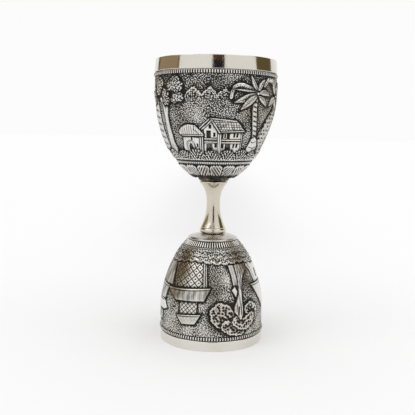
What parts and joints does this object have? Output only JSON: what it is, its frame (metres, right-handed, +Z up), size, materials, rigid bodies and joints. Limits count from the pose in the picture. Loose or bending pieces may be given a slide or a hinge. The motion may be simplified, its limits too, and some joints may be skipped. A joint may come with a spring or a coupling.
{
  "type": "double jigger",
  "caption": "Double-ended spirit measure: a large and a small chased cup, each with a plain liner, set mouth outwards on a waisted stem.",
  "frame": {"origin": "centre of the small cup's mouth, on the surface that the jigger stands on", "axes": "+Z up along the stem from the small cup to the large one, -Y towards the viewer of the village scene"},
  "size_m": [0.047, 0.047, 0.107],
  "materials": {
    "polished_silver": "hand-polished silver with fine wear",
    "chased_silver": "chased silver with an oxidised ground and rubbed highlights",
    "liner_silver": "satin silver with light stirring marks",
    "oxidised_silver": "dark tarnish left in a recess"
  },
  "bodies": {
    "root": {"upper_rim_band": "polished_silver", "upper_milled_wire": "chased_silver", "upper_chased_shell": "chased_silver", "upper_liner": "liner_silver", "collar_disc": "oxidised_silver", "stem": "polished_silver", "foot_plate": "polished_silver", "lower_chased_shell": "chased_silver", "lower_milled_wire": "chased_silver", "lower_rim_band": "polished_silver", "lower_liner": "liner_silver"}
  },
  "joints": []
}
